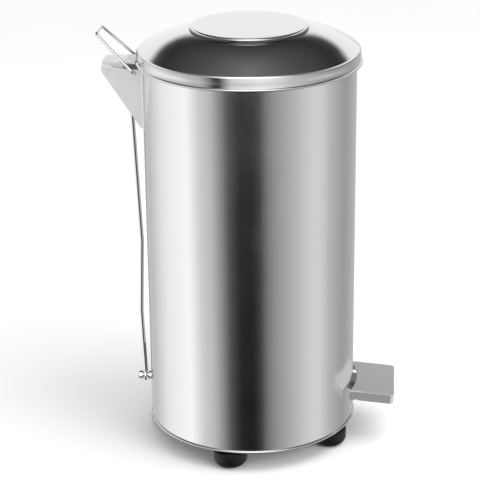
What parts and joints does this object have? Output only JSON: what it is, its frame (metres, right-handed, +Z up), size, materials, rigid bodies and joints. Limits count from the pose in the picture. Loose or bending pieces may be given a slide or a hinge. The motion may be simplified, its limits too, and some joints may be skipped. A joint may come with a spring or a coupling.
{
  "type": "pedal trash can",
  "caption": "Round stainless pedal bin: a domed lid on a rear hinge bracket, opened by a foot lever through a push rod, with a lift-out inner bucket and rubber feet.",
  "frame": {"origin": "on the floor, on the axis of the round body", "axes": "+Z up, the pedal towards -Y, the lid hinge towards +Y, +X to the right seen from the pedal"},
  "size_m": [0.316, 0.4229, 0.616],
  "materials": {
    "brushed_stainless": "satin, fine grain around the body",
    "polished_stainless": "fine polished, spun",
    "bright_steel": "bright drawn wire and turned parts",
    "black_rubber": "matt moulded",
    "white_nylon": "moulded"
  },
  "bodies": {
    "can": {"outer_shell": "brushed_stainless", "base_plate": "brushed_stainless", "pivot_clevis": "brushed_stainless", "rear_bracket": "brushed_stainless", "inner_bucket": "brushed_stainless", "bucket_ear_left": "brushed_stainless", "bucket_ear_right": "brushed_stainless", "lever_axle": "bright_steel", "axle_clips": "bright_steel", "hinge_pin": "bright_steel", "hinge_clip": "bright_steel", "foot_screws": "bright_steel", "foot_nuts": "bright_steel", "clevis_rivets": "bright_steel", "bucket_rivets": "bright_steel", "foot_1": "black_rubber", "foot_2": "black_rubber", "foot_3": "black_rubber", "foot_4": "black_rubber", "foot_5": "black_rubber"},
    "lid": {"lid_shell": "polished_stainless", "lid_arm": "brushed_stainless", "rod_lug": "brushed_stainless"},
    "pedal": {"pedal_lever": "brushed_stainless", "pedal_tread": "brushed_stainless", "lever_bush_left": "white_nylon", "lever_bush_right": "white_nylon", "tail_stud": "bright_steel", "tail_nuts": "bright_steel", "tail_washers": "bright_steel"},
    "rod": {"push_rod": "bright_steel", "rod_clip": "bright_steel"},
    "bail": {"carry_bail": "bright_steel"},
    "bucket_handle": {"bucket_handle": "bright_steel"}
  },
  "joints": [
    {"name": "pedal_hinge", "type": "hinge", "parent": "can", "child": "pedal", "pos_m": [0, -0.05, 0.078], "axis": [1, 0, 0], "range_deg": [0, 10.7]},
    {"name": "lid_hinge", "type": "hinge", "parent": "can", "child": "lid", "pos_m": [0, 0.197, 0.5555], "axis": [-1, 0, 0], "range_deg": [0, 66.15]},
    {"name": "rod_slide", "type": "slide", "parent": "can", "child": "rod", "axis": [0, -0.0881, 0.9961], "range_m": [0, 0.03917]},
    {"name": "bail_hinge", "type": "hinge", "parent": "can", "child": "bail", "pos_m": [0, 0.157, 0.5535], "axis": [-1, 0, 0], "range_deg": [-40, 100]},
    {"name": "bucket_handle_hinge", "type": "hinge", "parent": "can", "child": "bucket_handle", "pos_m": [0, 0, 0.559], "axis": [1, 0, 0], "range_deg": [-90, 90]}
  ],
  "couplings": [
    {"joint": "lid_hinge", "follows": "pedal_hinge", "ratio": 6.18},
    {"joint": "rod_slide", "follows": "pedal_hinge", "m_per_rad": 0.20965}
  ]
}
